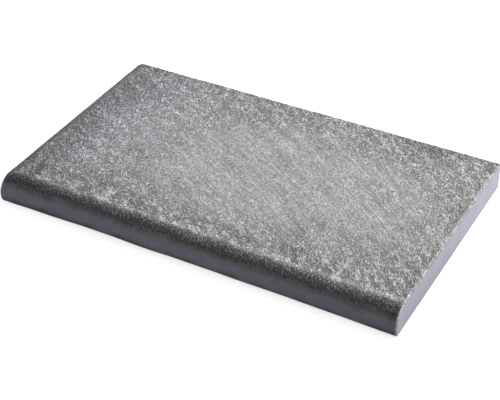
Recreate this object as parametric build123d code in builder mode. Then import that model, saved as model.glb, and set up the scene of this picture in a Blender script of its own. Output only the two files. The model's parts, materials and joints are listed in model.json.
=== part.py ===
from build123d import *
import os

# Pool coping stone for the corner of a pool: one sawn slab. A bullnose runs along its front
# and turns the corner on to its left end. The right end and the back are sawn square.
# Millimetres. The origin is the middle of the bed face.
# +X runs along the edge of the pool, -Y points over the water, +Z is up.

# Overall sizes
length = 600.0       # along the pool edge, from the nose of the left end to the sawn right end
depth = 350.0        # from the sawn back to the front of the nose
thickness = 40.0     # from the bed face to the walking face

# Bullnose
nose_round = 20.0    # turns the walking face down into the upright edge
foot_round = 6.0     # turns the upright edge under into the bed face
edge_land = 2.0      # least upright edge, which limits the bullnose of a thin slab
corner_round = 13.0  # turns the front into the left end, seen from above

# Sawn edges
arris_ease = 1.0     # leg of the ease rubbed on every sharp sawn edge

# Worked out from the sizes above
left_x = -length / 2
front_y = -depth / 2
back_y = depth / 2
nose_radius = min(nose_round, thickness - foot_round - edge_land)

# Seen from above, the corner turns about this point.
corner_x = left_x + corner_round
corner_y = front_y + corner_round


def edge_section(across):
    """Section from the rounded edge inwards: the edge is at 0, the bed face is the axis."""
    with BuildSketch() as section:
        with BuildLine():
            bed = Line((across, 0), (foot_round, 0))
            foot = JernArc(bed @ 1, bed % 1, foot_round, -90)
            land = Line(foot @ 1, (0, thickness - nose_radius))
            nose = JernArc(land @ 1, land % 1, nose_radius, -90)
            walking = Line(nose @ 1, (across, thickness))
            Line(walking @ 1, bed @ 0)
        make_face()
    return section.sketch


os.makedirs("parts", exist_ok=True)

with BuildPart() as coping_stone:
    # The front edge, along the whole slab
    with BuildSketch(Plane((left_x, front_y, 0), x_dir=(0, 1, 0), z_dir=(1, 0, 0))):
        add(edge_section(depth))
    extrude(amount=length)

    # The left edge, kept where both sections hold, so that the two bullnoses meet in a mitre
    with BuildSketch(Plane((left_x, back_y, 0), x_dir=(1, 0, 0), z_dir=(0, -1, 0))):
        add(edge_section(length))
    extrude(amount=depth, mode=Mode.INTERSECT)

    # The same section turned about the corner, in place of the sharp tip of the mitre
    with BuildSketch(Plane((left_x, front_y, 0))):
        Rectangle(corner_round, corner_round, align=Align.MIN)
    extrude(amount=thickness, mode=Mode.SUBTRACT)
    with BuildSketch(Plane((corner_x, front_y, 0), x_dir=(0, 1, 0), z_dir=(1, 0, 0))):
        add(edge_section(depth))
        Rectangle(corner_round, thickness, align=Align.MIN, mode=Mode.INTERSECT)
    revolve(axis=Axis((corner_x, corner_y, 0), (0, 0, 1)), revolution_arc=-90)

    # The saw leaves sharp edges round the right end and along the back. All of them are eased.
    right_end = coping_stone.faces().sort_by(Axis.X)[-1:]
    sawn_back = coping_stone.faces().sort_by(Axis.Y)[-1:]
    chamfer((right_end + sawn_back).edges(), arris_ease)

coping_stone.part.label = "coping_stone"
export_step(coping_stone.part, "parts/coping_stone.step")
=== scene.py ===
"""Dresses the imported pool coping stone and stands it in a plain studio.

The stone is one sawn slab. Its walking face and the upper part of its bullnose are rough, and
its lower nose, right end, back and bed are smooth. Lengths are in metres, in the frame of the
part: +X runs along the edge of the pool, -Y points over the water and +Z is up.
"""

import json
import logging
import math
from dataclasses import astuple, dataclass, field
from enum import IntEnum
from typing import Any, Mapping, Optional, Sequence, Union

import bpy
import numpy as np
from mathutils import Matrix, Vector

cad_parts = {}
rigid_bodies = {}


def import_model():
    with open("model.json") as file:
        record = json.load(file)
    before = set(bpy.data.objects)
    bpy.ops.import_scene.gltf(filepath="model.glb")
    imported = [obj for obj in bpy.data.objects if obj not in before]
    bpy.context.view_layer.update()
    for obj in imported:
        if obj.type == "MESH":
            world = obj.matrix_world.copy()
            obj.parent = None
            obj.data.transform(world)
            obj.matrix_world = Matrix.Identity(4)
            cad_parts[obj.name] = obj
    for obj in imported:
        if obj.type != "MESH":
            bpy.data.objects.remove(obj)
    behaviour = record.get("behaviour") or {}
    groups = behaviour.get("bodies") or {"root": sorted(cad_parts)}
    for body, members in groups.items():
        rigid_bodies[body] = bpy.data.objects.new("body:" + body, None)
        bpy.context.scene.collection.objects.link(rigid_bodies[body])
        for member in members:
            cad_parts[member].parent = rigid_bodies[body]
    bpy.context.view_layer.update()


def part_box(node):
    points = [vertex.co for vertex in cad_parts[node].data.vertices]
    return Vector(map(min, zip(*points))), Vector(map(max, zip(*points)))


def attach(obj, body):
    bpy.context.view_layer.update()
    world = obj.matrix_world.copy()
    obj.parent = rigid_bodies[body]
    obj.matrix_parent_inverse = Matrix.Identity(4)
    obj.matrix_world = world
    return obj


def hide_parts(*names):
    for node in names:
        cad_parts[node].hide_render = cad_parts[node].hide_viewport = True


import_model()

log = logging.getLogger("coping_stone")

MM = 0.001
DISPLAY_GAMMA = 2.2

Tone = tuple[float, float, float]
Curve = tuple[tuple[float, float], ...]


# Shader maths

class Signal:
    """A socket of plain numbers. Arithmetic on it adds Math nodes to its graph."""

    def __init__(self, graph: "Graph", socket: bpy.types.NodeSocket) -> None:
        """Keeps the graph and the socket that the numbers come from."""
        self.graph = graph
        self.socket = socket

    def _math(self, operation: str, *values: "Number", clamp: bool = False) -> "Signal":
        """Returns the output of one new Math node."""
        made = self.graph.node(
            "ShaderNodeMath",
            {"operation": operation, "use_clamp": clamp},
            dict(enumerate(values)),
        )
        return Signal(self.graph, made.outputs["Value"])

    def __add__(self, other: "Number") -> "Signal":
        """Returns the sum."""
        return self._math("ADD", self, other)

    __radd__ = __add__

    def __sub__(self, other: "Number") -> "Signal":
        """Returns the difference."""
        return self._math("SUBTRACT", self, other)

    def __rsub__(self, other: "Number") -> "Signal":
        """Returns the difference from a plain number."""
        return self._math("SUBTRACT", other, self)

    def __mul__(self, other: "Number") -> "Signal":
        """Returns the product."""
        return self._math("MULTIPLY", self, other)

    __rmul__ = __mul__

    def __truediv__(self, other: "Number") -> "Signal":
        """Returns the quotient."""
        return self._math("DIVIDE", self, other)

    def __pow__(self, other: "Number") -> "Signal":
        """Returns the power."""
        return self._math("POWER", self, other)

    def __abs__(self) -> "Signal":
        """Returns the size without the sign."""
        return self._math("ABSOLUTE", self)

    def at_least(self, other: "Number") -> "Signal":
        """Returns the larger of the two."""
        return self._math("MAXIMUM", self, other)

    def clamped(self) -> "Signal":
        """Returns the value held between 0 and 1."""
        return self._math("ADD", self, 0.0, clamp=True)

    def rise(self, low: float, high: float) -> "Signal":
        """Fades smoothly from 0 to 1.

        Args:
            low: Value at which the fade starts.
            high: Value at which it has ended. It may be the lower of the two.

        Returns:
            The share of the fade that is done.
        """
        made = self.graph.node(
            "ShaderNodeMapRange",
            {"interpolation_type": "SMOOTHSTEP"},
            {"Value": self, "From Min": low, "From Max": high},
        )
        return Signal(self.graph, made.outputs["Result"])


Number = Union[float, Signal]


class Graph:
    """The node tree of a material or of the sky, with one method that adds any node."""

    def __init__(self, owner: Union[bpy.types.Material, bpy.types.World]) -> None:
        """Empties the node tree of its owner."""
        self.owner = owner
        owner.use_nodes = True
        self.tree = owner.node_tree
        self.tree.nodes.clear()

    def node(
        self,
        kind: str,
        settings: Optional[Mapping[str, Any]] = None,
        inputs: Optional[Mapping[Union[str, int], Any]] = None,
    ) -> bpy.types.Node:
        """Adds one node.

        Args:
            kind: The node's type.
            settings: The node's own settings, which are set first. "stops" are a ramp's
                positions and tones.
            inputs: Values or links for its sockets, by name or number.

        Returns:
            The new node.
        """
        made = self.tree.nodes.new(kind)
        for name, value in (settings or {}).items():
            if name == "stops":
                self._set_stops(made.color_ramp, value)
            else:
                setattr(made, name, value)
        for name, value in (inputs or {}).items():
            if isinstance(value, Signal):
                value = value.socket
            if isinstance(value, bpy.types.NodeSocket):
                self.tree.links.new(value, made.inputs[name])
            else:
                made.inputs[name].default_value = value
        return made

    @staticmethod
    def _set_stops(ramp: bpy.types.ColorRamp, stops: Sequence[tuple[float, float]]) -> None:
        """Gives a ramp its stops, each a position and a grey tone."""
        while len(ramp.elements) < len(stops):
            ramp.elements.new(1.0)
        for element, (place, tone) in zip(ramp.elements, stops):
            element.position = place
            element.color = solid((tone, tone, tone))

    def value(self, node: bpy.types.Node, output: Union[str, int]) -> Signal:
        """Returns one output of a node as a signal."""
        return Signal(self, node.outputs[output])

    def place(self) -> bpy.types.NodeSocket:
        """Returns the point of the surface, in the frame of the part."""
        return self.node("ShaderNodeTexCoord").outputs["Object"]

    def attribute(self, name: str, output: str) -> bpy.types.NodeSocket:
        """Returns what the mesh holds under a name."""
        return self.node("ShaderNodeAttribute", {"attribute_name": name}).outputs[output]

    def split(self, vector: bpy.types.NodeSocket) -> tuple[Signal, Signal, Signal]:
        """Returns the three parts of a vector."""
        made = self.node("ShaderNodeSeparateXYZ", None, {"Vector": vector})
        return self.value(made, "X"), self.value(made, "Y"), self.value(made, "Z")

    def join(self, x: Number, y: Number, z: Number = 0.0) -> bpy.types.NodeSocket:
        """Returns the vector of three numbers."""
        return self.node("ShaderNodeCombineXYZ", None, {"X": x, "Y": y, "Z": z}).outputs["Vector"]

    def curve(self, value: Signal, points: Curve) -> Signal:
        """Reads a value off a line through a few points.

        Args:
            value: Where the line is read.
            points: Places and the values there, which lie between 0 and 1.

        Returns:
            The value of the line, held level beyond its ends.
        """
        first, last = points[0][0], points[-1][0]
        stops = [((place - first) / (last - first), height) for place, height in points]
        ramp = self.node(
            "ShaderNodeValToRGB",
            {"stops": stops},
            {"Fac": (value - first) / (last - first)},
        )
        return self.value(ramp, "Color")

    def blend(self, share: Number, first: Any, second: Any) -> bpy.types.NodeSocket:
        """Returns a mix of two colours."""
        made = self.node(
            "ShaderNodeMix",
            {"data_type": "RGBA"},
            {MIX_FACTOR: share, MIX_FIRST: first, MIX_SECOND: second},
        )
        return made.outputs[MIX_RESULT]

    def tinted(self, tint: bpy.types.NodeSocket, tone: Signal) -> bpy.types.NodeSocket:
        """Returns a tint at the strength of a tone, which is given as it shows on a display."""
        made = self.node(
            "ShaderNodeVectorMath",
            {"operation": "SCALE"},
            {"Vector": tint, "Scale": tone.at_least(0.0) ** DISPLAY_GAMMA},
        )
        return made.outputs["Vector"]

    def finish(
        self,
        colour: bpy.types.NodeSocket,
        roughness: Number,
        height: Signal,
        depth: float,
        specular: float,
    ) -> bpy.types.Material:
        """Ends the material in one shader.

        Args:
            colour: Its base colour.
            roughness: Its roughness.
            height: Fine relief, for a Bump node.
            depth: Depth in metres of a relief of 1.
            specular: Strength of its plain reflection.

        Returns:
            The finished material.
        """
        bump = self.node("ShaderNodeBump", None, {"Height": height, "Distance": depth, "Strength": 1.0})
        shader = self.node(
            "ShaderNodeBsdfPrincipled",
            None,
            {
                "Base Color": colour,
                "Roughness": roughness,
                "Specular IOR Level": specular,
                "Normal": bump.outputs["Normal"],
            },
        )
        self.node("ShaderNodeOutputMaterial", None, {"Surface": shader.outputs["BSDF"]})
        return self.owner


# Mean and spread of the noise of Blender
NOISE_MEAN = 0.5
NOISE_SPREAD = 0.13

# Sockets of a Mix node for colours, by number because their names come more than once
MIX_FACTOR, MIX_FIRST, MIX_SECOND, MIX_RESULT = 0, 6, 7, 2


def solid(tint: Tone) -> tuple[float, float, float, float]:
    """Returns a tint with full cover, as a colour socket takes it."""
    return (*tint, 1.0)


@dataclass(frozen=True)
class Layer:
    """A noise with a mean of about 0 and a spread of about its weight.

    Attributes:
        size: Length of its largest features across their lie, in the units of the place.
        weight: Its share of the pattern.
        stretch: How many times longer the features are along their lie.
        lie: Direction of the features, in degrees from the first axis.
        detail: Number of finer layers on top.
        roughness: Strength of each finer layer against the one before.
        distortion: How far the features are pulled about.
    """

    size: float
    weight: float = 1.0
    stretch: float = 1.0
    lie: float = 0.0
    detail: float = 2.0
    roughness: float = 0.5
    distortion: float = 0.0

    def on(self, g: Graph, place: bpy.types.NodeSocket) -> Signal:
        """Adds the noise.

        Args:
            g: The graph it is added to.
            place: Where it is read.

        Returns:
            The noise there.
        """
        laid = g.node(
            "ShaderNodeMapping",
            {"vector_type": "TEXTURE"},
            {
                "Vector": place,
                "Rotation": (0.0, 0.0, math.radians(self.lie)),
                "Scale": (self.stretch, 1.0, 1.0),
            },
        )
        made = g.node(
            "ShaderNodeTexNoise",
            None,
            {
                "Vector": laid.outputs["Vector"],
                "Scale": 1.0 / self.size,
                "Detail": self.detail,
                "Roughness": self.roughness,
                "Distortion": self.distortion,
            },
        )
        return (g.value(made, "Fac") - NOISE_MEAN) * (self.weight / NOISE_SPREAD)


@dataclass(frozen=True)
class Fade:
    """Something that fades in from one place to another.

    Attributes:
        start: Where it starts.
        full: Where it is full. It may be the lower of the two.
        strength: How strong it is there.
    """

    start: float
    full: float
    strength: float = 1.0

    def of(self, value: Signal) -> Signal:
        """Returns how strong it is at a value."""
        return value.rise(self.start, self.full) * self.strength


# Finishes

@dataclass(frozen=True)
class Mottle:
    """How much of each pattern shows, and how strongly, on one kind of skin.

    Attributes:
        flecks: Weight of the small flecks.
        hooks: Weight of the curled lines.
        clumps: Weight of the clumps.
        rim_clumps: What is added to it near the front and the back.
        bands: Weight of the long bands.
        streaks: Weight of the fine streaks.
        light: Tone that fades in over the sum of the patterns.
        specks: Tone of the finest specks.
        crests: Tone from the pits to the crests of the relief.
    """

    flecks: float
    hooks: float
    clumps: float
    rim_clumps: float
    bands: float
    streaks: float
    light: Fade
    specks: float
    crests: float


@dataclass(frozen=True)
class Patch:
    """A lighter or darker patch of the walking face.

    Attributes:
        along: Its place along the stone.
        down: Its place down from the start of the round, negative on the walking face.
        reach: How far it reaches.
        tone: What it adds to the tone in its middle.
    """

    along: float
    down: float
    reach: float
    tone: float


@dataclass(frozen=True)
class RoughSkin:
    """The walking face, rough and mottled, and the bullnose below it, dark and then smooth; part of the
    nose's darkness is painted shade.

    Tones are as they show on a display, from 0 to 1. Places down the nose are measured from
    the start of its round, along the surface, and are negative on the walking face.

    Attributes:
        cool: Tint of the left of the walking face.
        neutral: Tint of its right.
        slate: Tint of the left of the dark nose.
        olive: Tint of its right.
        lilac: Tint of the smooth part of the nose.
        front_tones: Tones down the front: the stone's own darker nose, with painted shade where the round
            turns down away from the lamp and a painted dark line of shade at the foot.
        side_tones: Tones down the left end, with the same painted shade on its round and at its foot.
        left_shade: Painted shade along the left end: what tones there are multiplied by.
        contrasts: Strength of the mottle down the nose.
        patches: Lighter and darker patches of the walking face.
        calm_middle: Middle of the worn, streaky part of the walking face.
        calm_reach: How far it reaches along and down.
        calm_lift: How much lighter it is.
        lie: Direction of the grain, in degrees from the stone's length.
        bow: How fast the lie steepens towards the right end.
        painted_shade_right: Painted shade: how much darker the walking face is, per metre to the right,
            which offsets the lamp's stronger light there.
        front_lift: How far the tones of the front are moved up towards the walking face.
        front_tilt: How much less so, per metre to the right.
        nose: Where the nose begins.
        smooth: Where its smooth part begins.
        lilac_start: Where its tint changes.
        ridge_highlight_back: Tone of the painted highlight along the crest above the nose, which begins
            here.
        ridge_highlight_front: Where it ends.
        ridge_highlight_growth: How fast it gets stronger to the right.
        front_rim: Where the front of the walking face gets clumps.
        back_rim: Where its back gets them.
        back_edge: Painted shade along its back edge.
        back_shade_growth: How fast that shade gets stronger to the right.
        right_edge: Tone of its right edge.
        crushed_edge_glints: Tone of the crushed line along the right end, partly a painted highlight.
        left_end: Tone of the nose of the left end, towards the front.
        smooth_right: Tone of the smooth part of the nose, to the right.
        fur: Tone that fades in over the sum of the strokes of the nose.
        fur_crests: Tone from the pits to the crests of the relief of the nose.
        warmth: Share of the right-hand tints in the middle of the stone.
        warmth_growth: How fast it grows to the right.
        smooth_roughness: Roughness of the smooth part.
        rough_roughness: Roughness of the rough skin.
        smooth_grit: Depth of the finest grit on the smooth part, against the rough skin.
    """

    cool: Tone = (0.965, 0.993, 1.040)
    neutral: Tone = (0.998, 1.006, 0.985)
    slate: Tone = (0.975, 0.998, 1.030)
    olive: Tone = (1.005, 1.010, 0.965)
    lilac: Tone = (0.935, 0.940, 1.190)
    front_tones: Curve = (
        (-0.110, 0.645), (-0.060, 0.632), (-0.030, 0.612), (-0.018, 0.590),
        (-0.009, 0.605), (-0.002, 0.600), (0.001, 0.48), (0.006, 0.37),
        (0.012, 0.29), (0.017, 0.245), (0.022, 0.32), (0.028, 0.38),
        (0.036, 0.395), (0.043, 0.375), (0.046, 0.29), (0.050, 0.16),
    )
    side_tones: Curve = (
        (-0.060, 0.645), (-0.004, 0.630), (0.001, 0.590), (0.010, 0.54),
        (0.018, 0.45), (0.024, 0.40), (0.034, 0.39), (0.043, 0.375),
        (0.050, 0.16),
    )
    left_shade: Curve = (
        (-0.280, 0.83), (-0.267, 0.84), (-0.256, 0.87), (-0.244, 0.91),
        (-0.230, 0.96), (-0.210, 1.00),
    )
    contrasts: Curve = (
        (-0.006, 1.00), (0.002, 0.80), (0.014, 0.50), (0.019, 0.16),
        (0.026, 0.05),
    )
    patches: tuple[Patch, ...] = (
        Patch(0.150, -0.070, 0.080, -0.045),
        Patch(0.285, -0.015, 0.055, 0.045),
        Patch(0.190, -0.320, 0.080, -0.035),
        Patch(-0.275, -0.015, 0.055, -0.050),
        Patch(-0.275, -0.310, 0.055, 0.035),
    )
    calm_middle: tuple[float, float] = (0.06, -0.15)
    calm_reach: tuple[float, float] = (0.24, 0.13)
    calm_lift: float = 0.04
    lie: float = 28.0
    bow: float = 0.8
    painted_shade_right: float = 0.075
    front_lift: float = 1.2 * MM
    front_tilt: float = 0.006
    nose: Fade = Fade(-0.003, 0.003)
    smooth: Fade = Fade(0.017, 0.024)
    lilac_start: Fade = Fade(0.012, 0.038)
    ridge_highlight_back: Fade = Fade(-0.012, -0.006, 0.09)
    ridge_highlight_front: Fade = Fade(0.0, -0.003)
    ridge_highlight_growth: float = 1.8
    front_rim: Fade = Fade(-0.07, -0.02)
    back_rim: Fade = Fade(-0.27, -0.30, 0.5)
    back_edge: Fade = Fade(-0.290, -0.330, -0.035)
    back_shade_growth: float = 3.43
    right_edge: Fade = Fade(0.284, 0.290, -0.030)
    crushed_edge_glints: Fade = Fade(0.2962, 0.2982, 0.15)
    left_end: Fade = Fade(-0.250, -0.050, -0.055)
    smooth_right: Fade = Fade(0.02, 0.24, -0.028)
    fur: Fade = Fade(-0.1, 1.2, 0.48)
    fur_crests: float = 0.06
    warmth: float = 0.75
    warmth_growth: float = 3.0
    smooth_roughness: float = 0.62
    rough_roughness: float = 0.82
    smooth_grit: float = 0.35

    # Patterns that pull the borders about, then those that are seen, each as large as in the photo
    WANDER = Layer(32 * MM, 2.0 * MM)
    SHADE_WANDER = Layer(30 * MM, 4.0 * MM, detail=1.0)
    CALM_WANDER = Layer(50 * MM, 0.25)
    TINT_WANDER = Layer(100 * MM, 0.12)
    STROKE_WANDER = 1.4 * MM
    LEANING_STROKES = Layer(1.8 * MM, 0.7, stretch=2.4, lie=60.0, detail=1.0, distortion=0.4)
    UPRIGHT_STROKES = Layer(1.7 * MM, 0.6, stretch=2.2, lie=105.0, detail=1.0, distortion=0.4)
    BROAD = Layer(120 * MM, 0.012)
    CRUSHED = Layer(5 * MM, 0.4, detail=1.0)
    SMUDGES = Layer(6 * MM, 0.010, stretch=3.0, detail=3.0, roughness=0.6)
    HAZE = Layer(22 * MM, 0.006, detail=1.0)
    FLECKS = Layer(2.1 * MM, stretch=2.2, detail=1.0, roughness=0.6)
    HOOKS = Layer(4.2 * MM, stretch=1.2, detail=0.5)
    SPECKS = Layer(1.7 * MM, detail=0.0)
    CLUMPS = Layer(11 * MM, stretch=1.5, detail=1.5)
    BANDS = Layer(18 * MM, stretch=5.0, detail=1.5)
    STREAKS = Layer(3 * MM, stretch=16.0, roughness=0.6)
    GRIT = Layer(1.2 * MM, roughness=0.6)
    BEND_SIZE, BEND_REACH = 10 * MM, 2.2 * MM
    HOOK_PEAK, MOTTLE_MEAN, FUR_MEAN, CREST_MEAN = 0.8, 0.42, 0.25, 0.5
    CALM = Fade(1.5, 0.1)
    ROUGH = Mottle(
        flecks=0.80, hooks=0.50, clumps=0.14, rim_clumps=0.30, bands=0.18, streaks=0.0,
        light=Fade(-0.4, 1.3, 0.38), specks=0.065, crests=0.05,
    )
    WORN = Mottle(
        flecks=0.75, hooks=0.30, clumps=0.12, rim_clumps=0.0, bands=0.20, streaks=0.40,
        light=Fade(-1.0, 1.6, 0.28), specks=0.055, crests=0.02,
    )

    def build(self) -> bpy.types.Material:
        """Makes the material, which reads the skin's own coordinates and crests from the mesh."""
        g = Graph(bpy.data.materials.new("rough_skin"))
        skin = g.attribute("skin", "Vector")
        crest = Signal(g, g.attribute("crest", "Fac")) - self.CREST_MEAN
        along, down, _ = g.split(skin)
        path, over, side = g.split(g.attribute("rim", "Vector"))
        front = 1.0 - side

        unrolled = g.join(path, over)
        strokes = self.LEANING_STROKES.on(g, unrolled) + self.UPRIGHT_STROKES.on(g, unrolled)
        edge = over + self.WANDER.on(g, skin) + strokes * self.STROKE_WANDER
        edge = edge + (self.front_lift - along * self.front_tilt) * front
        nose, smooth = self.nose.of(edge), self.smooth.of(edge)
        contrast = g.curve(edge, self.contrasts)

        # Tones down the nose: the stone's darker nose, with painted shade on the round and a painted dark
        # line of shade at the foot.
        tone = g.curve(edge, self.front_tones) * front + g.curve(edge, self.side_tones) * side
        # Painted shade along the left end, which the smooth part of the nose doesn't get.
        shade = g.curve(along + self.SHADE_WANDER.on(g, skin), self.left_shade)
        tone = tone * (shade + (1.0 - shade) * smooth)

        calm = self._calm(g, skin, along, down)
        rims = self.front_rim.of(down) + self.back_rim.of(down)
        grain = self._grain(g, self._flow(g, along, down), crest, calm, rims)
        fur = self.fur.of(strokes) - self.fur.strength * self.FUR_MEAN + crest * self.fur_crests
        # Painted highlight along the crest where the walking face turns into the nose, stronger to the
        # right.
        ridge_highlight = self.ridge_highlight_back.of(edge) * self.ridge_highlight_front.of(edge) * front
        face = (
            self.BROAD.on(g, skin)
            + calm * self.calm_lift
            + ridge_highlight * (along * self.ridge_highlight_growth + 0.5).clamped()
            # Painted shade that darkens the walking face towards the right, against the lamp's light.
            - along * self.painted_shade_right
        )
        for patch in self.patches:
            aside, ahead = along - patch.along, down - patch.down
            away = (aside * aside + ahead * ahead) ** 0.5
            face = face + Fade(patch.reach, 0.0, patch.tone).of(away)
        smear = self.SMUDGES.on(g, skin) + self.HAZE.on(g, skin)
        tone = (
            tone
            + contrast * (grain * (1.0 - nose) + fur * nose)
            + face * (1.0 - nose)
            # Painted shade along the back edge, stronger to the right.
            + self.back_edge.of(down) * (along.at_least(0.0) * self.back_shade_growth + 1.0)
            + self.right_edge.of(along)
            # Crushed stone and painted glints along the right end's top edge.
            + self.crushed_edge_glints.of(along) * (self.CRUSHED.on(g, skin) + 1.0)
            + self.left_end.of(down) * side * nose
            + (self.smooth_right.of(along) + smear) * smooth
        )

        warmer = (along * self.warmth_growth + self.warmth + self.TINT_WANDER.on(g, skin)).clamped()
        tint = g.blend(warmer, solid(self.cool), solid(self.neutral))
        dark = g.blend(warmer, solid(self.slate), solid(self.olive))
        tint = g.blend(nose, tint, dark)
        tint = g.blend(self.lilac_start.of(edge), tint, solid(self.lilac))
        return g.finish(
            g.tinted(tint, tone),
            roughness=self.smooth_roughness + contrast * (self.rough_roughness - self.smooth_roughness),
            height=self.GRIT.on(g, g.place()) * (self.smooth_grit + contrast * (1.0 - self.smooth_grit)),
            depth=0.06 * MM,
            specular=0.35,
        )

    def _calm(self, g: Graph, skin: bpy.types.NodeSocket, along: Signal, down: Signal) -> Signal:
        """Works out how worn and streaky the skin is.

        Args:
            g: The graph.
            skin: The place on the unrolled skin.
            along: Its first part.
            down: Its second part.

        Returns:
            The wear, from 0 at the rim to 1 in the middle.
        """
        across = (along - self.calm_middle[0]) / self.calm_reach[0]
        back = (down - self.calm_middle[1]) / self.calm_reach[1]
        return self.CALM.of(across * across + back * back + self.CALM_WANDER.on(g, skin))

    def _flow(self, g: Graph, along: Signal, down: Signal) -> bpy.types.NodeSocket:
        """Returns coordinates that run along the lie of the grain, which steepens to the right."""
        past = along.at_least(0.0)
        return g.join(along, down - along * math.tan(math.radians(self.lie)) - past * past * self.bow)

    def _bent(self, g: Graph, place: bpy.types.NodeSocket) -> bpy.types.NodeSocket:
        """Pulls coordinates about by a soft noise, which curls what is laid on them.

        Args:
            g: The graph.
            place: The coordinates.

        Returns:
            The pulled coordinates.
        """
        scale = 1.0 / self.BEND_SIZE
        pull = g.node("ShaderNodeTexNoise", None, {"Vector": place, "Scale": scale, "Detail": 1.0})
        reach = self.BEND_REACH / NOISE_SPREAD
        return g.node(
            "ShaderNodeVectorMath",
            {"operation": "MULTIPLY_ADD"},
            {0: pull.outputs["Color"], 1: (reach, reach, reach), 2: place},
        ).outputs["Vector"]

    def _grain(
        self, g: Graph, flow: bpy.types.NodeSocket, crest: Signal, calm: Signal, rims: Signal
    ) -> Signal:
        """Mixes the mottle: curled light flecks in clumps and, where the skin is calm, streaks.

        Args:
            g: The graph.
            flow: Coordinates that run along the grain.
            crest: Height in the fine relief, about 0.
            calm: How worn the skin is.
            rims: How near the front or the back is.

        Returns:
            What the mottle adds to the tone.
        """
        bent = self._bent(g, flow)
        flecks = self.FLECKS.on(g, bent)
        hooks = self.HOOK_PEAK - abs(self.HOOKS.on(g, bent))
        specks, clumps = self.SPECKS.on(g, flow), self.CLUMPS.on(g, flow)
        bands, streaks = self.BANDS.on(g, flow), self.STREAKS.on(g, flow)
        mixed = []
        for skin in (self.ROUGH, self.WORN):
            light = (
                flecks * skin.flecks
                + hooks * skin.hooks
                + clumps * (skin.clumps + rims * skin.rim_clumps)
                + bands * skin.bands
                + streaks * skin.streaks
            )
            shown = skin.light.of(light) - skin.light.strength * self.MOTTLE_MEAN
            mixed.append(shown + specks * skin.specks + crest * skin.crests)
        rough, worn = mixed
        return rough * (1.0 - calm) + worn * calm


@dataclass(frozen=True)
class SawnFace:
    """The right end, the back or the bed: smooth and pale, with faint marks of the saw.

    Attributes:
        tint: Tint at the back.
        front_tint: Tint at the front.
        tone: Tone halfway back.
        painted_light_back: Painted light: how much lighter it is, per metre towards the back, where the lamp
            stands.
        dusk: Tone of a darker patch low down, by height.
        dusk_front: Where that patch begins, from the front.
        dusk_back: Where it begins, from the back.
        rim: Tone along the nose, by distance from it.
        foot: Painted shade along the bed, by height: a dark line where the face meets the floor.
        marks_shown: Tone of the marks of the saw.
        marks_cut: Their depth, against that of the grit.
        nose_round: Radius of the nose above.
    """

    tint: Tone = (0.945, 0.950, 1.135)
    front_tint: Tone = (0.950, 0.957, 1.110)
    tone: float = 0.735
    painted_light_back: float = 0.16
    dusk: Fade = Fade(0.030, 0.005, -0.045)
    dusk_front: Fade = Fade(-0.22, -0.08)
    dusk_back: Fade = Fade(0.10, -0.08)
    rim: Fade = Fade(2.8 * MM, 1.2 * MM, -0.05)
    foot: Fade = Fade(4.0 * MM, 1.0 * MM, -0.13)
    marks_shown: float = 0.004
    marks_cut: float = 0.5
    nose_round: float = 20 * MM

    CLOUDS = Layer(30 * MM, 0.006, detail=3.0)
    MARKS = Layer(3.5 * MM)
    GRIT = Layer(0.8 * MM, roughness=0.6)
    MARKS_ALONG, MARKS_UP = 0.3, 0.08
    TINT_GROWTH = 2.0

    def build(self, depth: float, thickness: float) -> bpy.types.Material:
        """Makes the material.

        Args:
            depth: The stone's depth, from its back to the front of its nose.
            thickness: Its thickness.

        Returns:
            The material.
        """
        g = Graph(bpy.data.materials.new("sawn_face"))
        place = g.place()
        x, y, z = g.split(place)
        inset = (self.nose_round - depth / 2 - y).at_least(0.0)
        drop = (z - (thickness - self.nose_round)).at_least(0.0)
        from_nose = self.nose_round - (inset * inset + drop * drop) ** 0.5
        marks = self.MARKS.on(g, g.join(x * self.MARKS_ALONG, y, z * self.MARKS_UP))
        tone = (
            self.tone
            # Painted light, lighter towards the back.
            + y * self.painted_light_back
            + self.dusk.of(z) * self.dusk_front.of(y) * self.dusk_back.of(y)
            + self.CLOUDS.on(g, place)
            + marks * self.marks_shown
            + self.rim.of(from_nose)
            # Painted shade along the foot.
            + self.foot.of(z)
        )
        backward = (y * self.TINT_GROWTH + 0.5).clamped()
        return g.finish(
            g.tinted(g.blend(backward, solid(self.front_tint), solid(self.tint)), tone),
            roughness=0.7,
            height=self.GRIT.on(g, place) + marks * self.marks_cut,
            depth=0.02 * MM,
            specular=0.3,
        )


@dataclass(frozen=True)
class BrokenArris:
    """The eased edges: crushed stone in darker runs, with white glints on the top edges that are partly
    painted highlights.

    Attributes:
        tint: Its tint.
        dark: Tone of the darkest runs.
        white: Tone of the whitest specks.
        glint: Share of white, crushed stone and painted highlight, that fades in over the sum of the runs
            and specks.
        top_edge: Where the painted glints are seen, by height. The lower edges have none.
        back_edge: What the back edge loses of them.
    """

    tint: Tone = (0.99, 0.99, 1.01)
    dark: float = 0.57
    white: float = 0.92
    glint: Fade = Fade(-0.25, 1.2)
    top_edge: Fade = Fade(0.006, 0.012)
    back_edge: Fade = Fade(0.1715, 0.1728, 0.7)

    RUNS = Layer(28 * MM, 0.20)
    SPECKS = Layer(4.5 * MM, 0.75, detail=1.0)
    GRIT = Layer(1.0 * MM, roughness=0.6)

    def build(self) -> bpy.types.Material:
        """Makes the material."""
        g = Graph(bpy.data.materials.new("broken_arris"))
        place = g.place()
        _, y, z = g.split(place)
        # White glints, partly crushed stone and partly painted highlight, on the top edges only.
        glint = self.glint.of(self.RUNS.on(g, place) + self.SPECKS.on(g, place))
        seen = self.top_edge.of(z) * (1.0 - self.back_edge.of(y))
        tone = self.dark + glint * seen * (self.white - self.dark)
        return g.finish(
            g.tinted(g.join(*self.tint), tone),
            roughness=0.6,
            height=self.GRIT.on(g, place),
            depth=0.05 * MM,
            specular=0.4,
        )


# The stone

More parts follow.
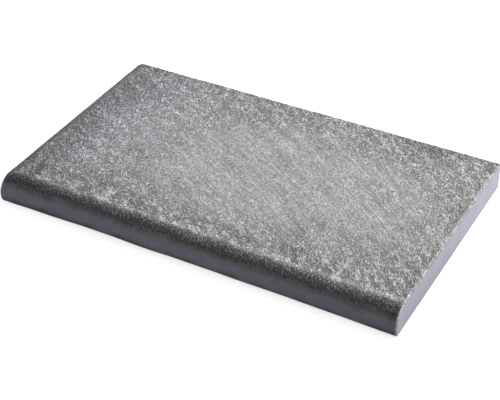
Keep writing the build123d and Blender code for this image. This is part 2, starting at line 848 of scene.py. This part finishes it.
@dataclass(frozen=True)
class Grain:
    """Relief of one size, laid on the unrolled skin.

    Attributes:
        size: Length from crest to crest, across the lie.
        stretch: How many times longer the crests are along the lie.
        lie: Direction of the crests, in degrees from +X towards the nose.
        seed: Start of the random draws.
        spread: How far the size varies, in octaves.
    """

    size: float
    stretch: float
    lie: float
    seed: int
    spread: float = 0.4

    def lay(self, along: np.ndarray, down: np.ndarray) -> np.ndarray:
        """Reads the relief at points of the skin.

        Args:
            along: Their places along the stone.
            down: Their places down the skin, of the same shape.

        Returns:
            Heights of the same shape, with a mean of 0 and a spread of 1.
        """
        step = min(self.size / STEPS_PER_CREST, WIDEST_STEP)
        shape = (int(SHEET_DOWN / step), int(SHEET_ALONG / step))
        white = np.random.default_rng(self.seed).standard_normal(shape)
        turns_down = np.fft.fftfreq(shape[0], step)[:, None]
        turns_along = np.fft.rfftfreq(shape[1], step)[None, :]
        lie = math.radians(self.lie)
        with_lie = turns_along * math.cos(lie) + turns_down * math.sin(lie)
        over_lie = turns_down * math.cos(lie) - turns_along * math.sin(lie)
        turns = np.hypot(with_lie * self.stretch, over_lie) * self.size
        turns[0, 0] = NEARLY_NONE
        band = np.exp(-0.5 * (np.log2(turns) / self.spread) ** 2)
        field = np.fft.irfft2(np.fft.rfft2(white) * band, shape)
        field /= field.std()
        row, column = (down / step) % shape[0], (along / step) % shape[1]
        top, left = row.astype(int), column.astype(int)
        below, right = (top + 1) % shape[0], (left + 1) % shape[1]
        u, v = row - top, column - left
        upper = field[top, left] * (1 - v) + field[top, right] * v
        lower = field[below, left] * (1 - v) + field[below, right] * v
        return upper * (1 - u) + lower * u


# The sheet on which a relief is drawn, which repeats beyond its ends, and its steps
SHEET_ALONG = 0.72
SHEET_DOWN = 0.48
STEPS_PER_CREST = 5
WIDEST_STEP = 6 * MM

# Where the wear of the skin starts and is full, in squares of its reach
CALM_START = (1.3, 0.2)

# Stands for no turns at all, where a logarithm is taken
NEARLY_NONE = 1e-9


def spaced(first: float, last: float, pitch: float) -> np.ndarray:
    """Returns evenly spaced places from first to last, at most about a pitch apart."""
    return np.linspace(first, last, math.ceil(abs(last - first) / pitch) + 1)


def fade(values: np.ndarray, low: float, high: float) -> np.ndarray:
    """Returns a smooth fade from 0 at low to 1 at high."""
    share = np.clip((values - low) / (high - low), 0.0, 1.0)
    return share * share * (3 - 2 * share)


class Zone(IntEnum):
    """The finish of a stretch of the surface, which is also its material slot."""

    SKIN = 0
    SAWN = 1
    ARRIS = 2


@dataclass(frozen=True)
class Station:
    """A point of the rounded edge's section.

    Attributes:
        reach: Share of the way from the start of the round out to the edge.
        fall: Share of the height of the round that it has come down.
        gone: Share of the upright edge that it has come down.
        inset: How far it lies back from the edge, on the foot.
        tuck: How far it has come down the foot.
        turn: Direction of the outward normal, in radians from +Z outwards.
        down: Its distance along the surface from the start of the round.
    """

    reach: float
    fall: float
    gone: float
    inset: float
    tuck: float
    turn: float
    down: float


@dataclass(frozen=True)
class Rim:
    """Columns over the rounded edge, from the back of the left end round to the right end.

    Attributes:
        start: Where each column starts, seen from above, at the start of the round.
        edge: Where it meets the upright edge.
        outward: Its outward direction at the edge.
        path: Its place along the edge, which is x along the front.
        side: 1 along the left end, 0 along the front and between them in the corner.
    """

    start: np.ndarray
    edge: np.ndarray
    outward: np.ndarray
    path: np.ndarray
    side: np.ndarray


@dataclass
class Shell:
    """The points and faces of the stone as they are gathered.

    Attributes:
        points: Blocks of points.
        skins: Their places on the unrolled skin.
        rims: Their place along the rounded edge, their distance down from the start of its
            round, and their side of the corner.
        crests: Their height in the fine relief.
        faces: The faces, as lists of points.
        zones: The zone of each face.
        count: Number of points so far.
    """

    points: list[np.ndarray] = field(default_factory=list)
    skins: list[np.ndarray] = field(default_factory=list)
    rims: list[np.ndarray] = field(default_factory=list)
    crests: list[np.ndarray] = field(default_factory=list)
    faces: list[list[int]] = field(default_factory=list)
    zones: list[int] = field(default_factory=list)
    count: int = 0

    def add(self, points: np.ndarray, skin: np.ndarray, rim: np.ndarray, crest: np.ndarray) -> np.ndarray:
        """Adds a block of points.

        Args:
            points: The points, in an array of any shape that ends in 3.
            skin: Their places on the unrolled skin, of the same shape.
            rim: Their places at the rounded edge, of the same shape.
            crest: Their height in the fine relief.

        Returns:
            The number of each point.
        """
        size = int(np.prod(points.shape[:-1]))
        self.points.append(points.reshape(-1, 3))
        self.skins.append(skin.reshape(-1, 3))
        self.rims.append(rim.reshape(-1, 3))
        self.crests.append(crest.reshape(-1))
        self.count += size
        return np.arange(self.count - size, self.count).reshape(points.shape[:-1])

    def add_plain(self, points: np.ndarray) -> np.ndarray:
        """Adds points that lie off the skin."""
        return self.add(points, 0 * points, 0 * points, np.zeros(points.shape[:-1]))

    def weave(self, ids: np.ndarray, zone: Zone) -> None:
        """Joins neighbours in rows of points into faces, and drops a point that comes twice."""
        for upper, lower in zip(ids.tolist(), ids[1:].tolist()):
            for i in range(len(upper) - 1):
                ring = (upper[i], lower[i], lower[i + 1], upper[i + 1])
                self.cap(list(dict.fromkeys(ring)), zone)

    def cap(self, ring: list[int], zone: Zone) -> None:
        """Adds one face."""
        self.faces.append(ring)
        self.zones.append(int(zone))

    def mesh(self, name: str) -> bpy.types.Mesh:
        """Makes the mesh, with what the finishes read from it."""
        mesh = bpy.data.meshes.new(name)
        mesh.from_pydata(np.concatenate(self.points).tolist(), [], self.faces)
        mesh.polygons.foreach_set("material_index", self.zones)
        mesh.polygons.foreach_set("use_smooth", np.array(self.zones) == Zone.SKIN)
        for title, blocks in (("skin", self.skins), ("rim", self.rims)):
            kept = mesh.attributes.new(title, "FLOAT_VECTOR", "POINT")
            kept.data.foreach_set("vector", np.concatenate(blocks).ravel().astype(np.float32))
        crests = mesh.attributes.new("crest", "FLOAT", "POINT")
        crests.data.foreach_set("value", np.concatenate(self.crests).astype(np.float32))
        mesh.update()
        return mesh


@dataclass
class CopingStone:
    """The whole stone, one slab with a bullnose on two sides, as a mesh with its real relief.

    Attributes:
        length: Length along the pool.
        depth: Depth from the back to the front of the nose.
        thickness: Thickness between the bed and the walking face.
        nose_round: Radius from the walking face down to the upright edge.
        foot_round: Radius from the upright edge under to the bed.
        corner_round: Radius from the front to the left end, seen from above.
        corner_height: Height of the round from the walking face down, at the corner.
        corner_foot: Radius of the foot, at the corner.
        corner_flare: How far the corner stands out at its foot, beyond its plain round.
        flare_focus: How closely that keeps to the middle of the corner.
        arris_ease: Width of the ease on each sawn edge.
        pitch: Distance between neighbouring points of the mesh.
        swell_depth: Spread of the broad waves of the rough skin.
        grit_depth: Spread of its fine relief.
        rough_end: How far down the nose the rough skin reaches.
        edge_wear: How unevenly the lower edge is worn back.
    """

    length: float
    depth: float
    thickness: float
    nose_round: float = 20 * MM
    foot_round: float = 6 * MM
    corner_round: float = 13 * MM
    corner_height: float = 30 * MM
    corner_foot: float = 4.0 * MM
    corner_flare: float = 1.6 * MM
    flare_focus: int = 4
    arris_ease: float = 1 * MM
    pitch: float = 1.65 * MM
    swell_depth: float = 0.16 * MM
    grit_depth: float = 0.10 * MM
    rough_end: float = 17 * MM
    edge_wear: float = 0.65 * MM

    # Reliefs
    BACK_EASE = Grain(9 * MM, stretch=1.0, lie=0.0, seed=43)
    RIGHT_EASE = Grain(9 * MM, stretch=1.0, lie=0.0, seed=42)
    SWELL = Grain(85 * MM, stretch=1.6, lie=25.0, seed=11, spread=0.5)
    GRIT = Grain(6.5 * MM, stretch=1.25, lie=20.0, seed=12)
    CRUSTS = Grain(11 * MM, stretch=1.6, lie=28.0, seed=13)
    STREAKS = Grain(5.5 * MM, stretch=4.5, lie=27.0, seed=14)
    DRIPS = Grain(4.2 * MM, stretch=1.8, lie=70.0, seed=15)
    WEAR = Grain(160 * MM, stretch=1.0, lie=0.0, seed=1067)

    # Their shares and limits
    SWELL_LIMIT = 1.8
    GRIT_SHARE, CRUST_SHARE = 0.75, 0.5
    CALM_GRIT, CALM_STREAKS = 0.45, 0.5
    SHARPNESS = 0.9
    EASE_WAVE, CHIP_START, CHIP_WIDTH = 0.25, 1.1, 0.7
    EASE_LIMITS = (0.5, 1.7)

    # Where things start and are full, down the nose, along its edge and by height
    DRIPS_START = (-4 * MM, 6 * MM)
    ROUGH_ENDING = (-5 * MM, 4 * MM)
    ROUGH_RAGGED = 1.6 * MM
    WEAR_START = (14 * MM, 30 * MM)
    FOOT_NARROWS = (60 * MM, 15 * MM)
    FLARE_HEIGHTS = (26 * MM, 10 * MM)
    EXTRA_STEPS = 4

    def __post_init__(self) -> None:
        """Works out the slab's sides, and where the round of its edge starts."""
        self.right, self.back = self.length / 2, self.depth / 2
        self.left, self.front = -self.right, -self.back
        self.start_x, self.start_y = self.left + self.nose_round, self.front + self.nose_round

    def stations(self) -> list[Station]:
        """Returns the section of the rounded edge, after its start, down to the bed."""
        nose, foot = self.nose_round, self.foot_round
        made = []
        quarter = math.pi / 2
        steps = math.ceil(nose * quarter / self.pitch) + self.EXTRA_STEPS
        for turn in (quarter * i / steps for i in range(1, steps + 1)):
            made.append(Station(math.sin(turn), 1 - math.cos(turn), 0.0, 0.0, 0.0, turn, nose * turn))
        upright, above = self.thickness - nose - foot, nose * quarter
        steps = math.ceil(upright / (2 * self.pitch))
        for gone in (i / steps for i in range(1, steps + 1)):
            made.append(Station(1.0, 1.0, gone, 0.0, 0.0, quarter, above + upright * gone))
        steps = math.ceil(foot * quarter / self.pitch)
        for turn in (quarter * i / steps for i in range(1, steps + 1)):
            inset, tuck = foot * (1 - math.cos(turn)), foot * math.sin(turn)
            made.append(Station(1.0, 1.0, 1.0, inset, tuck, quarter + turn, above + upright + foot * turn))
        return made

    def rim(self, x: np.ndarray, y: np.ndarray) -> Rim:
        """Lays out the columns over the rounded edge.

        Args:
            x: Places of the columns along the front.
            y: Places of the columns along the left end, from the back.

        Returns:
            The columns of the left end, the corner and the front.
        """
        flank, quarter = self.nose_round - self.corner_round, self.corner_round * math.pi / 2
        around = 2 * flank + quarter
        gone = np.linspace(0.0, around, math.ceil(around / self.pitch) + 1)[1:-1]
        angle = np.clip((gone - flank) / self.corner_round, 0.0, math.pi / 2)
        turned = np.stack([-np.cos(angle), -np.sin(angle)], axis=1)
        centre = np.array([self.left + self.corner_round, self.front + self.corner_round])
        straight = np.stack([np.maximum(gone - flank - quarter, 0.0), np.maximum(flank - gone, 0.0)], axis=1)
        return Rim(
            start=np.concatenate([
                np.stack([np.full_like(y, self.start_x), y], axis=1),
                np.tile([self.start_x, self.start_y], (len(gone), 1)),
                np.stack([x, np.full_like(x, self.start_y)], axis=1),
            ]),
            edge=np.concatenate([
                np.stack([np.full_like(y, self.left), y], axis=1),
                centre + self.corner_round * turned + straight,
                np.stack([x, np.full_like(x, self.front)], axis=1),
            ]),
            outward=np.concatenate([
                np.tile([-1.0, 0.0], (len(y), 1)), turned, np.tile([0.0, -1.0], (len(x), 1)),
            ]),
            path=np.concatenate([
                self.start_x - around - (y - self.start_y), self.start_x - around + gone, x,
            ]),
            side=np.concatenate([np.ones_like(y), 1 - gone / around, np.zeros_like(x)]),
        )

    def _ease_widths(self, run: np.ndarray, grain: Grain) -> np.ndarray:
        """Returns the width of an eased edge at places along it, wider where it is chipped."""
        wave = grain.lay(np.zeros_like(run), run)
        chips = np.clip(wave - self.CHIP_START, 0.0, 1.0)
        width = 1.0 + self.EASE_WAVE * wave + self.CHIP_WIDTH * chips
        return self.arris_ease * np.clip(width, *self.EASE_LIMITS)

    def relief(self, skin: np.ndarray, rim: np.ndarray) -> tuple[np.ndarray, np.ndarray]:
        """Works out the rough skin.

        Args:
            skin: Places on the unrolled skin.
            rim: Places at the rounded edge.

        Returns:
            How far each point lies below the slab's plain surface, and how high it stands in
            the fine relief, from 0 in a pit to 1 on a crest.
        """
        along, down = skin[..., 0], skin[..., 1]
        path, over = rim[..., 0], rim[..., 1]
        swell = np.clip(self.SWELL.lay(along, down), -self.SWELL_LIMIT, self.SWELL_LIMIT)
        grit = self.GRIT_SHARE * self.GRIT.lay(along, down) + self.CRUST_SHARE * self.CRUSTS.lay(along, down)
        quiet = self.CALM_GRIT * grit + self.CALM_STREAKS * self.STREAKS.lay(along, down)
        calm = self._calm(along, down)
        on_nose = fade(over, *self.DRIPS_START)
        fine = grit * (1 - calm) + quiet * calm
        fine = fine * (1 - on_nose) + self.DRIPS.lay(path, over) * on_nose
        fine = np.tanh(fine * self.SHARPNESS)
        past_end = over + self.ROUGH_RAGGED * grit - self.rough_end
        rough = 1 - fade(past_end, *self.ROUGH_ENDING)
        # Nearly all of the relief lies below the slab's plain surface.
        height = (swell - 1.0) * self.swell_depth + (fine - 0.5) * self.grit_depth
        wave = np.clip(self.WEAR.lay(path, 0 * path), -1.0, 1.0)
        worn = fade(over, *self.WEAR_START) * (0.5 + wave)
        return worn * self.edge_wear - height * rough, 0.5 + 0.5 * fine

    @staticmethod
    def _calm(along: np.ndarray, down: np.ndarray) -> np.ndarray:
        """Works out how worn the skin is, about as its finish does.

        Args:
            along: Places along the stone.
            down: Places down the skin.

        Returns:
            The wear, from 0 at the rim to 1 in the middle.
        """
        skin = RoughSkin()
        across = (along - skin.calm_middle[0]) / skin.calm_reach[0]
        back = (down - skin.calm_middle[1]) / skin.calm_reach[1]
        return fade(across**2 + back**2, *CALM_START)

    def build(self) -> bpy.types.Object:
        """Makes the stone as one closed mesh."""
        shell = Shell()
        x = np.append(spaced(self.start_x, self.right - 2 * self.pitch, self.pitch), self.right)
        y = np.append(self.back, spaced(self.back - 2 * self.pitch, self.start_y, self.pitch))
        top = self._walking_face(shell, x, y)
        edge = self._rounded_edge(shell, x, y, top)
        self._sawn_faces(shell, top, edge)
        piece = bpy.data.objects.new("coping_stone_body", shell.mesh("coping_stone_body"))
        bpy.context.scene.collection.objects.link(piece)
        return piece

    def _skin(
        self, shell: Shell, plain: np.ndarray, normal: np.ndarray, skin: np.ndarray, rim: np.ndarray
    ) -> np.ndarray:
        """Adds points of the rough skin, sunk below the plain surface by their relief."""
        sunk, crest = self.relief(skin, rim)
        points = plain - normal * sunk[..., None]
        points[..., 2] = np.maximum(points[..., 2], 0.0)
        return shell.add(points, skin, rim, crest)

    def _walking_face(self, shell: Shell, x: np.ndarray, y: np.ndarray) -> np.ndarray:
        """Makes the flat of the walking face, up to the start of the round.

        Args:
            shell: What the face is added to.
            x: Places of its columns. The last one is the right end.
            y: Places of its rows, from the back.

        Returns:
            The numbers of its points, row by row from the back.
        """
        across, up = np.meshgrid(x, y)
        across[:, -1] -= self._ease_widths(self.back - y, self.RIGHT_EASE)
        up[0] -= self._ease_widths(self.right - x, self.BACK_EASE)
        plain = np.stack([across, up, np.full_like(up, self.thickness)], axis=-1)
        beyond_left, beyond_front = self.start_x - across, self.start_y - up
        lead = beyond_left - beyond_front
        columns = self.rim(x, y)
        left_path = columns.path[0] + self.back - up
        last_left = columns.path[columns.side == 1][-1]
        path = np.where(lead > 0, left_path, np.where(lead < 0, across, last_left))
        side = np.clip(0.5 + lead / self.nose_round, 0.0, 1.0)
        rim = np.stack([path, np.maximum(beyond_left, beyond_front), side], axis=-1)
        skin = np.stack([across, beyond_front, np.zeros_like(up)], axis=-1)
        ids = self._skin(shell, plain, np.array([0.0, 0.0, 1.0]), skin, rim)
        shell.weave(ids, Zone.SKIN)
        return ids

    def _rounded_edge(self, shell: Shell, x: np.ndarray, y: np.ndarray, top: np.ndarray) -> np.ndarray:
        """Makes the rounded edge, from the start of its round down to the bed.

        Args:
            shell: What the edge is added to.
            x: Places of the columns along the front. The last one is the right end.
            y: Places of the columns along the left end, from the back.
            top: The numbers of the points of the walking face.

        Returns:
            The numbers of its points, row by row from the walking face.
        """
        rim = self.rim(x, y)
        section = np.array([astuple(station) for station in self.stations()])
        reach, fall, gone, inset, tuck, turn, down = section.T[..., None]
        bulge = np.sin(math.pi * rim.side)
        height = self.nose_round + (self.corner_height - self.nose_round) * bulge
        nearness = fade(np.abs(rim.path - self.left), *self.FOOT_NARROWS)
        squeeze = 1 - (1 - self.corner_foot / self.foot_round) * nearness
        upright = self.thickness - height - self.foot_round * squeeze
        z = self.thickness - height * fall - upright * gone - tuck * squeeze
        flare = self.corner_flare * bulge**self.flare_focus * fade(z, *self.FLARE_HEIGHTS)
        out = flare - inset * squeeze
        span = rim.edge - rim.start
        plan = rim.start + span * reach[..., None] + rim.outward * out[..., None]
        unrolled = rim.start + span / np.linalg.norm(span, axis=1, keepdims=True) * down[..., None]
        at_back = self._ease_widths(self.right - self.start_x + down[:, 0], self.BACK_EASE)
        at_right = self._ease_widths(self.back - self.start_y + down[:, 0], self.RIGHT_EASE)
        for places in (plan, unrolled):
            places[:, 0, 1] -= at_back
            places[:, -1, 0] -= at_right
        flat = np.zeros(plan.shape[:-1])
        plain = np.dstack([plan, z])
        normal = np.dstack([rim.outward * np.sin(turn)[..., None], np.cos(turn) + flat])
        skin = np.dstack([unrolled[..., 0], self.start_y - unrolled[..., 1], flat])
        at_rim = np.dstack([rim.path + flat, down + flat, rim.side + flat])
        ids = self._skin(shell, plain, normal, skin, at_rim)
        at_corner = np.full(len(rim.path) - len(x) - len(y), top[-1, 0])
        starts = np.concatenate([top[:, 0], at_corner, top[-1]])
        shell.weave(np.concatenate([starts[None], ids]), Zone.SKIN)
        return ids

    def _sawn_faces(self, shell: Shell, top: np.ndarray, edge: np.ndarray) -> None:
        """Closes the stone with its back, its right end, its bed and their eased edges.

        Args:
            shell: What the faces are added to.
            top: The numbers of the points of the walking face.
            edge: The numbers of the points of the rounded edge.
        """
        bed_x = spaced(self.left + self.foot_round, self.right - self.arris_ease, 2 * self.pitch)[1:]
        bed_y = spaced(self.front + self.foot_round, self.back - self.arris_ease, 2 * self.pitch)[1:-1]
        under_back = self.back - self._ease_widths(bed_x, self.BACK_EASE)
        under_right = self.right - self._ease_widths(bed_y, self.RIGHT_EASE)
        back_bed = shell.add_plain(np.stack([bed_x, under_back, 0 * bed_x], axis=-1))
        right_bed = shell.add_plain(np.stack([under_right, bed_y, 0 * bed_y], axis=-1))

        turns = np.array([s.turn for s in self.stations()])
        back_ring = np.concatenate([top[0, ::-1], edge[:, 0], back_bed])
        back_turns = np.concatenate([np.zeros(len(top[0])), turns, np.full(len(back_bed), math.pi)])
        right_ring = np.concatenate([top[:, -1], edge[:, -1], right_bed, back_bed[-1:]])
        right_turns = np.concatenate([np.zeros(len(top)), turns, np.full(len(right_bed) + 1, math.pi)])
        points = np.concatenate(shell.points)

        behind = points[back_ring]
        width = self.back - behind[:, 1]
        behind += np.stack([width * np.sin(back_turns), width, -width * np.cos(back_turns)], axis=-1)
        back_outer = shell.add_plain(behind)
        beside = points[right_ring]
        width = self.right - beside[:, 0]
        beside += np.stack([width, width * np.sin(right_turns), -width * np.cos(right_turns)], axis=-1)
        right_outer = shell.add_plain(beside)

        shell.weave(np.stack([back_ring, back_outer]), Zone.ARRIS)
        shell.weave(np.stack([right_outer, right_ring]), Zone.ARRIS)
        shell.cap([right_outer[0], right_outer[-1], back_outer[-1], back_outer[0]], Zone.ARRIS)
        shell.cap([top[0, -1], right_outer[0], back_outer[0]], Zone.ARRIS)
        shell.cap([back_bed[-1], back_outer[-1], right_outer[-1]], Zone.ARRIS)
        shell.cap(back_outer[::-1].tolist(), Zone.SAWN)
        shell.cap(right_outer.tolist(), Zone.SAWN)
        shell.cap(np.concatenate([edge[-1, ::-1], back_bed, right_bed[::-1]]).tolist(), Zone.SAWN)

    def dress(self, piece: bpy.types.Object) -> None:
        """Gives the stone its finishes, in the order of the zones, and ties it to the frame."""
        for material in (
            RoughSkin().build(),
            SawnFace(nose_round=self.nose_round).build(self.depth, self.thickness),
            BrokenArris().build(),
        ):
            piece.data.materials.append(material)
        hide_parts("coping_stone")
        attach(piece, "root")


# The studio

@dataclass(frozen=True)
class Softbox:
    """A square studio light that faces a point.

    Attributes:
        name: What it is called.
        place: Where it hangs.
        target: What it faces.
        width: Its side.
        watts: Its power.
    """

    name: str
    place: tuple[float, float, float]
    target: tuple[float, float, float]
    width: float
    watts: float

    def hang(self) -> None:
        """Adds the light to the scene."""
        lamp = bpy.data.lights.new(self.name, "AREA")
        lamp.shape = "SQUARE"
        lamp.size = self.width
        lamp.energy = self.watts
        holder = bpy.data.objects.new(self.name, lamp)
        holder.location = self.place
        facing = Vector(self.target) - Vector(self.place)
        holder.rotation_euler = facing.to_track_quat("-Z", "Y").to_euler()
        bpy.context.scene.collection.objects.link(holder)


@dataclass(frozen=True)
class PhotoCamera:
    """A camera that looks down on the stone from its front right.

    Attributes:
        azimuth: Degrees round the stone, from the front towards its right end.
        elevation: Degrees above the horizon.
        roll: Degrees that the picture is turned.
        distance: How far the camera stands from the middle of the bed.
        aside: How far it is moved to its own right.
        above: How far it is moved to its own top.
        focal_length: In millimetres.
        sensor: Width of its sensor, in millimetres.
        nearest: Distance at which it starts to see.
        farthest: Distance at which it stops.
    """

    azimuth: float = 29.65
    elevation: float = 36.47
    roll: float = -1.05
    distance: float = 1.7800
    aside: float = 0.0017
    above: float = -0.0093
    focal_length: float = 92.22
    sensor: float = 36.0
    nearest: float = 0.05
    farthest: float = 50.0

    def place(self) -> None:
        """Adds the camera and makes it the scene's own."""
        turn, tilt, roll = (math.radians(a) for a in (self.azimuth, self.elevation, self.roll))
        back = Vector((math.sin(turn) * math.cos(tilt), -math.cos(turn) * math.cos(tilt), math.sin(tilt)))
        level = Vector((math.cos(turn), math.sin(turn), 0.0))
        upright = back.cross(level)
        right = level * math.cos(roll) + upright * math.sin(roll)
        up = upright * math.cos(roll) - level * math.sin(roll)
        lens = bpy.data.cameras.new("photo_camera")
        lens.lens = self.focal_length
        lens.sensor_width = self.sensor
        lens.clip_start = self.nearest
        lens.clip_end = self.farthest
        holder = bpy.data.objects.new("photo_camera", lens)
        turned = Matrix((right, up, back)).transposed().to_4x4()
        where = back * self.distance + right * self.aside + up * self.above
        holder.matrix_world = Matrix.Translation(where) @ turned
        bpy.context.scene.collection.objects.link(holder)
        bpy.context.scene.camera = holder


@dataclass
class Studio:
    """A plain pale floor under soft light, with a white background.

    Attributes:
        floor_side: Side of the floor.
        floor_gap: How far it lies below the bed, so that the two don't share a plane.
        floor_tone: How much light it gives back.
        floor_glow: What is added to it where the camera sees it.
        sky_strength: Strength of the sky's light. The camera sees the sky white.
        lamp: The one lamp, behind the right end.
    """

    floor_side: float = 8.0
    floor_gap: float = 0.2 * MM
    floor_tone: float = 0.80
    floor_glow: float = 0.64
    sky_strength: float = 0.56
    lamp: Softbox = Softbox(
        "back_right_light", place=(0.75, 0.65, 1.10), target=(0.08, 0.0, 0.0), width=0.9, watts=12.0
    )

    def lay_floor(self) -> bpy.types.Object:
        """Adds the floor, which shows nearly white to the camera and keeps the stone's shadow."""
        half = self.floor_side / 2
        mesh = bpy.data.meshes.new("studio_floor")
        corners = [(-half, -half, -self.floor_gap), (half, -half, -self.floor_gap),
                   (half, half, -self.floor_gap), (-half, half, -self.floor_gap)]
        mesh.from_pydata(corners, [], [[0, 1, 2, 3]])
        floor = bpy.data.objects.new("studio_floor", mesh)
        bpy.context.scene.collection.objects.link(floor)
        g = Graph(bpy.data.materials.new("studio_floor"))
        rays = g.node("ShaderNodeLightPath")
        seen = g.value(rays, "Is Camera Ray").at_least(g.value(rays, "Is Glossy Ray"))
        matte = g.node("ShaderNodeBsdfDiffuse", None, {"Color": solid((self.floor_tone,) * 3)})
        glow = g.node("ShaderNodeEmission", None, {"Strength": seen * self.floor_glow})
        both = g.node("ShaderNodeAddShader", None, {0: matte.outputs["BSDF"], 1: glow.outputs["Emission"]})
        g.node("ShaderNodeOutputMaterial", None, {"Surface": both.outputs["Shader"]})
        mesh.materials.append(g.owner)
        return floor

    def light(self) -> None:
        """Adds the sky, which shows white to the camera, and the lamp."""
        g = Graph(bpy.data.worlds.new("studio_sky"))
        white = solid((1.0, 1.0, 1.0))
        rays = g.node("ShaderNodeLightPath")
        seen = g.value(rays, "Is Camera Ray").at_least(g.value(rays, "Is Transmission Ray"))
        strength = seen * (1.0 - self.sky_strength) + self.sky_strength
        sky = g.node("ShaderNodeBackground", None, {"Color": white, "Strength": strength})
        g.node("ShaderNodeOutputWorld", None, {"Surface": sky.outputs["Background"]})
        bpy.context.scene.world = g.owner
        self.lamp.hang()

    def set_view(self) -> None:
        """Shows colours as they are."""
        bpy.context.scene.view_settings.view_transform = "Standard"


def main() -> None:
    """Builds the stone, then the studio round it."""
    logging.basicConfig(level=logging.INFO, format="%(message)s")
    low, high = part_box("coping_stone")
    stone = CopingStone(*(high - low))
    body = stone.build()
    stone.dress(body)
    log.info("coping_stone_body: %d faces", len(body.data.polygons))
    studio = Studio()
    studio.lay_floor()
    studio.light()
    studio.set_view()
    PhotoCamera().place()
    log.info("studio: floor, sky, softbox and camera")


if __name__ == "__main__":
    main()
